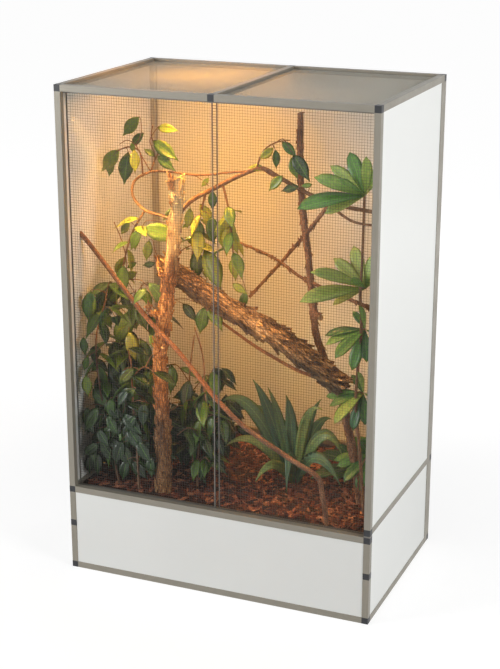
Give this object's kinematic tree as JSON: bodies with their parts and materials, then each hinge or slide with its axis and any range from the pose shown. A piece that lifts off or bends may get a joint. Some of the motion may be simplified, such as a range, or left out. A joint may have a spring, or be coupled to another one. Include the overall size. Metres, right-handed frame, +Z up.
{
  "type": "terrarium",
  "caption": "Tall furnished terrarium for a climbing reptile: tube frame, white panels, sliding mesh doors, mesh top, bark floor, branches and plants.",
  "frame": {"origin": "middle of the footprint, on the surface that it stands on", "axes": "+Z up, +X to the right seen from the front, the mesh doors face -Y"},
  "size_m": [1, 0.64, 1.55],
  "materials": {
    "tube_aluminium": "satin anodised",
    "trim_aluminium": "satin",
    "connector_plastic": "moulded",
    "white_panel": "smooth",
    "floor_plastic": "smooth",
    "wire_mesh": "galvanised wire",
    "bark": "rough chips",
    "branch_wood": "natural",
    "cork_bark": "rough bark",
    "foliage": "waxy leaves"
  },
  "bodies": {
    "cage": {"bottom_front_rail": "tube_aluminium", "bottom_rear_rail": "tube_aluminium", "bottom_left_rail": "tube_aluminium", "bottom_right_rail": "tube_aluminium", "middle_front_rail": "tube_aluminium", "middle_rear_rail": "tube_aluminium", "middle_left_rail": "tube_aluminium", "middle_right_rail": "tube_aluminium", "top_front_left_rail": "tube_aluminium", "top_front_right_rail": "tube_aluminium", "top_rear_left_rail": "tube_aluminium", "top_rear_right_rail": "tube_aluminium", "top_left_rail": "tube_aluminium", "top_right_rail": "tube_aluminium", "top_cross_bar": "tube_aluminium", "front_left_post": "tube_aluminium", "front_right_post": "tube_aluminium", "rear_left_post": "tube_aluminium", "rear_right_post": "tube_aluminium", "bottom_corner_connectors": "connector_plastic", "post_joiners": "connector_plastic", "front_left_middle_connector": "connector_plastic", "rear_right_middle_connector": "connector_plastic", "lower_stacked_connectors": "connector_plastic", "upper_stacked_connectors": "connector_plastic", "spacers": "trim_aluminium", "top_corner_connectors": "connector_plastic", "top_tee_connectors": "connector_plastic", "base_front_panel": "white_panel", "base_rear_panel": "white_panel", "base_left_panel": "white_panel", "base_right_panel": "white_panel", "left_wall_panel": "white_panel", "right_wall_panel": "white_panel", "rear_wall_panel": "white_panel", "floor_panel": "floor_plastic", "floor_ledges": "trim_aluminium", "bottom_track": "trim_aluminium", "top_track": "trim_aluminium", "top_left_frame": "trim_aluminium", "top_left_mesh": "wire_mesh", "top_right_frame": "trim_aluminium", "top_right_mesh": "wire_mesh", "bark_bed": "bark", "upright_trunk": "branch_wood", "forked_branch": "branch_wood", "leaning_perch": "branch_wood", "cork_log": "cork_bark", "slim_perch": "branch_wood", "climbing_vine": "foliage", "left_ficus": "foliage", "middle_ficus": "foliage", "umbrella_plant": "foliage", "strap_leaf_plant": "foliage"},
    "left_door": {"left_door_frame": "trim_aluminium", "left_door_mesh": "wire_mesh"},
    "right_door": {"right_door_frame": "trim_aluminium", "right_door_mesh": "wire_mesh"}
  },
  "joints": [
    {"name": "left_door_slide", "type": "slide", "parent": "cage", "child": "left_door", "axis": [1, 0, 0], "range_m": [0, 0.47]},
    {"name": "right_door_slide", "type": "slide", "parent": "cage", "child": "right_door", "axis": [1, 0, 0], "range_m": [-0.47, 0]}
  ]
}
